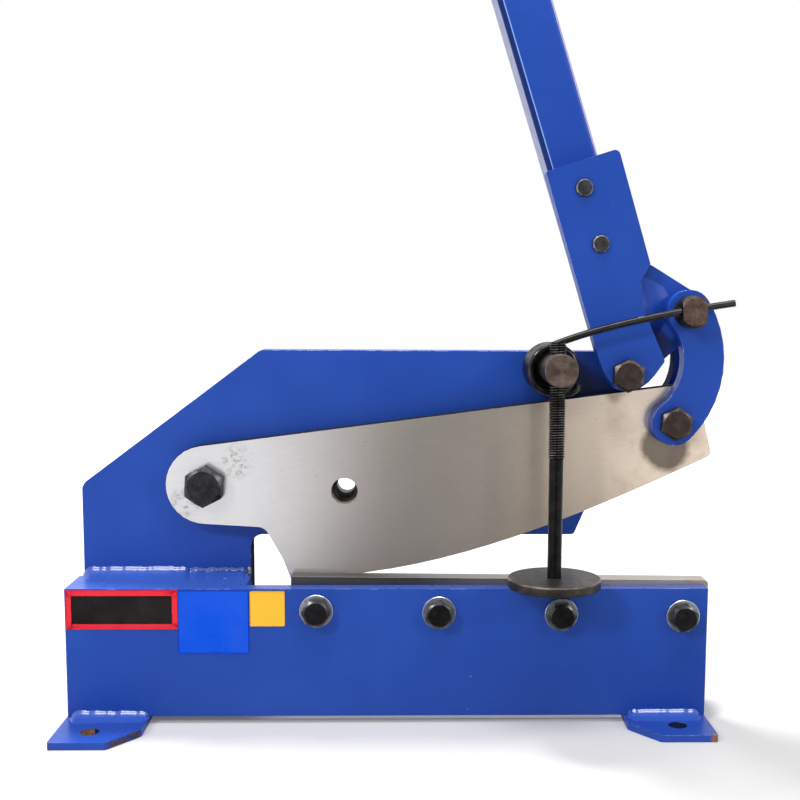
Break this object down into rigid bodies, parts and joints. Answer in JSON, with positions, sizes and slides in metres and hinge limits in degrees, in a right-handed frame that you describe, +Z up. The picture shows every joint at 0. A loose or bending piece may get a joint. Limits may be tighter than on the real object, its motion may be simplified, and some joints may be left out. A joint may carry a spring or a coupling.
{
  "type": "hand lever plate shear",
  "caption": "Bench shear for plate and round bar: lever, twin links and a curved swinging blade over a fixed lower blade, with return spring and screw hold-down.",
  "frame": {"origin": "on the bench, under the centre of the whole object's bounding box", "axes": "+X along the blades from the blade's pivot to the lever, +Y from the front plate to the main plate at the back, +Z up"},
  "size_m": [0.4748, 0.1672, 0.812],
  "materials": {
    "blue_paint": "glossy blue enamel over welded and sawn steel plate",
    "blade_steel": "ground hardened tool steel",
    "black_oxide": "blackened, lightly oiled steel",
    "brown_steel": "turned steel with worn brown oxide",
    "zinc_plate": "zinc-plated washer",
    "spring_steel": "black oil-tempered wire",
    "grip_rubber": "matt black pushed-on grip"
  },
  "bodies": {
    "frame": {"front_plate": "blue_paint", "foot_left": "blue_paint", "foot_right": "blue_paint", "spacer_left": "blue_paint", "spacer_right": "blue_paint", "main_plate": "blue_paint", "lower_blade": "blade_steel", "lower_blade_washer_1": "zinc_plate", "lower_blade_washer_2": "zinc_plate", "lower_blade_washer_3": "zinc_plate", "lower_blade_washer_4": "zinc_plate", "lower_blade_bolt_1": "black_oxide", "lower_blade_bolt_2": "black_oxide", "lower_blade_bolt_3": "black_oxide", "lower_blade_bolt_4": "black_oxide", "blade_pivot_bolt": "black_oxide", "blade_pivot_washer": "zinc_plate", "blade_pivot_nut": "black_oxide", "lever_pivot_bolt": "brown_steel", "lever_pivot_washer": "zinc_plate", "lever_pivot_nut": "black_oxide", "hold_down_post": "brown_steel", "hold_down_post_nut": "black_oxide", "spring_coil": "spring_steel"},
    "blade": {"moving_blade": "blade_steel"},
    "lever": {"lever_cheek": "blue_paint", "lever_lug": "blue_paint", "handle_tube": "blue_paint", "handle_bolt_1": "black_oxide", "handle_bolt_2": "black_oxide", "handle_grip": "grip_rubber"},
    "links": {"front_link": "blue_paint", "rear_link": "blue_paint", "link_bolt": "black_oxide", "link_nut": "black_oxide"},
    "link_pin": {"spring_pin": "brown_steel", "spring_pin_nut": "black_oxide"},
    "spring": {"spring_arm": "spring_steel"},
    "hold_down_foot": {"hold_down_foot": "black_oxide"},
    "hold_down_spindle": {"hold_down_spindle": "black_oxide"}
  },
  "joints": [
    {"name": "lever_turn", "type": "hinge", "parent": "frame", "child": "lever", "pos_m": [0.16482, 0, 0.2525], "axis": [0, 1, 0], "range_deg": [0, 84], "stiffness_Nm_per_rad": 3, "springref_deg": -28.65},
    {"name": "blade_swing", "type": "hinge", "parent": "frame", "child": "blade", "pos_m": [-0.13948, 0, 0.1703], "axis": [0, 1, 0], "range_deg": [0, 13.93]},
    {"name": "link_swing", "type": "hinge", "parent": "blade", "child": "links", "pos_m": [0.19992, 0, 0.2181], "axis": [0, 1, 0], "range_deg": [-7.67, 0]},
    {"name": "link_pin_turn", "type": "hinge", "parent": "links", "child": "link_pin", "pos_m": [0.20832, 0, 0.2977], "axis": [0, 1, 0], "range_deg": [0, 38.5]},
    {"name": "spring_turn", "type": "hinge", "parent": "frame", "child": "spring", "pos_m": [0.11052, 0, 0.2568], "axis": [0, 1, 0], "range_deg": [0, 44.6]},
    {"name": "hold_down_turn", "type": "hinge", "parent": "hold_down_foot", "child": "hold_down_spindle", "pos_m": [0.11162, -0.0466, 0.258], "axis": [0, 0, 1], "range_deg": [0, 9257]},
    {"name": "hold_down_lift", "type": "slide", "parent": "frame", "child": "hold_down_foot", "axis": [0, 0, 1], "range_m": [0, 0.045]}
  ],
  "couplings": [
    {"joint": "blade_swing", "follows": "lever_turn", "ratio": 0.16578},
    {"joint": "link_swing", "follows": "lever_turn", "ratio": -0.0912},
    {"joint": "link_pin_turn", "follows": "lever_turn", "ratio": 0.4575},
    {"joint": "spring_turn", "follows": "lever_turn", "ratio": 0.53},
    {"joint": "hold_down_lift", "follows": "hold_down_turn", "m_per_rad": 0.00027852}
  ]
}
